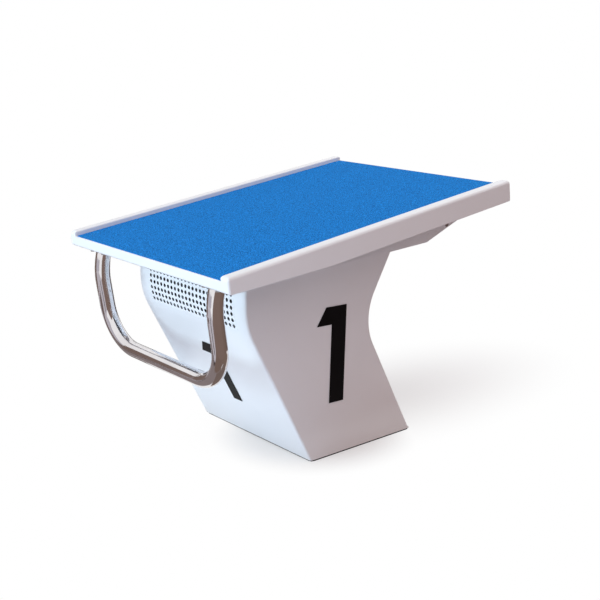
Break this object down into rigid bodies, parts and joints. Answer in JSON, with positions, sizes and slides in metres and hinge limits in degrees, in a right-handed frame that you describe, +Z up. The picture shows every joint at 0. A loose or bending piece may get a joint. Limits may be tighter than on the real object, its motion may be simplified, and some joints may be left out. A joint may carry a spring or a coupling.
{
  "type": "swimming starting block",
  "caption": "Sloping pool starting block: wide deck with blue anti-slip mat and side rims on a leaning chevron pedestal, with a backstroke grab bar under its front edge.",
  "frame": {"origin": "middle of the foot's underside, on the pool deck, halfway between the pedestal's sides and halfway between the front and rear edges of its foot", "axes": "+Z up; -Y towards the water, the way the swimmer dives; +X to the right as seen from the water"},
  "size_m": [0.6, 0.806, 0.5835],
  "materials": {
    "gelcoat": "white gelcoat, satin gloss",
    "white_paint": "white powder coat",
    "blue_mat": "matt blue, fine anti-slip grain",
    "core_board": "sealed plywood, painted grey-white",
    "polished_steel": "mirror-polished stainless steel",
    "fastener_steel": "plain stainless steel",
    "galvanised_steel": "hot-dip galvanised, dull grey",
    "black_rubber": "matt black",
    "black_vinyl": "flat black"
  },
  "bodies": {
    "root": {"anchor_nut_1": "fastener_steel", "anchor_nut_2": "fastener_steel", "anchor_nut_3": "fastener_steel", "anchor_nut_4": "fastener_steel", "anchor_stud_1": "fastener_steel", "anchor_stud_2": "fastener_steel", "anchor_stud_3": "fastener_steel", "anchor_stud_4": "fastener_steel", "anti_slip_mat": "blue_mat", "base_plate": "galvanised_steel", "base_seal": "black_rubber", "core_board": "core_board", "cradle_cheek_left": "white_paint", "cradle_cheek_right": "white_paint", "cradle_front": "white_paint", "cradle_pan": "white_paint", "cradle_rib_front": "white_paint", "cradle_rib_rear": "white_paint", "deck_bolt_1": "fastener_steel", "deck_bolt_2": "fastener_steel", "deck_bolt_3": "fastener_steel", "deck_bolt_4": "fastener_steel", "deck_bolt_5": "fastener_steel", "deck_bolt_6": "fastener_steel", "deck_tray": "gelcoat", "frame_bolt_1": "fastener_steel", "frame_bolt_2": "fastener_steel", "frame_bolt_3": "fastener_steel", "frame_bolt_4": "fastener_steel", "frame_nut_1": "fastener_steel", "frame_nut_2": "fastener_steel", "frame_nut_3": "fastener_steel", "frame_nut_4": "fastener_steel", "frame_tie_1": "galvanised_steel", "frame_tie_2": "galvanised_steel", "frame_tie_3": "galvanised_steel", "grab_bar": "polished_steel", "grab_plate_bolt_1": "fastener_steel", "grab_plate_bolt_2": "fastener_steel", "grab_plate_bolt_3": "fastener_steel", "grab_plate_bolt_4": "fastener_steel", "grab_plate_bolt_5": "fastener_steel", "grab_plate_bolt_6": "fastener_steel", "grab_plate_bolt_7": "fastener_steel", "grab_plate_bolt_8": "fastener_steel", "grab_plate_left": "polished_steel", "grab_plate_right": "polished_steel", "grille_panel": "white_paint", "number_front": "black_vinyl", "number_left": "black_vinyl", "number_rear": "black_vinyl", "number_right": "black_vinyl", "pedestal_shell": "gelcoat", "shell_bolt_1": "fastener_steel", "shell_bolt_2": "fastener_steel", "shell_bolt_3": "fastener_steel", "shell_bolt_4": "fastener_steel", "side_frame_left": "galvanised_steel", "side_frame_right": "galvanised_steel"}
  },
  "joints": []
}
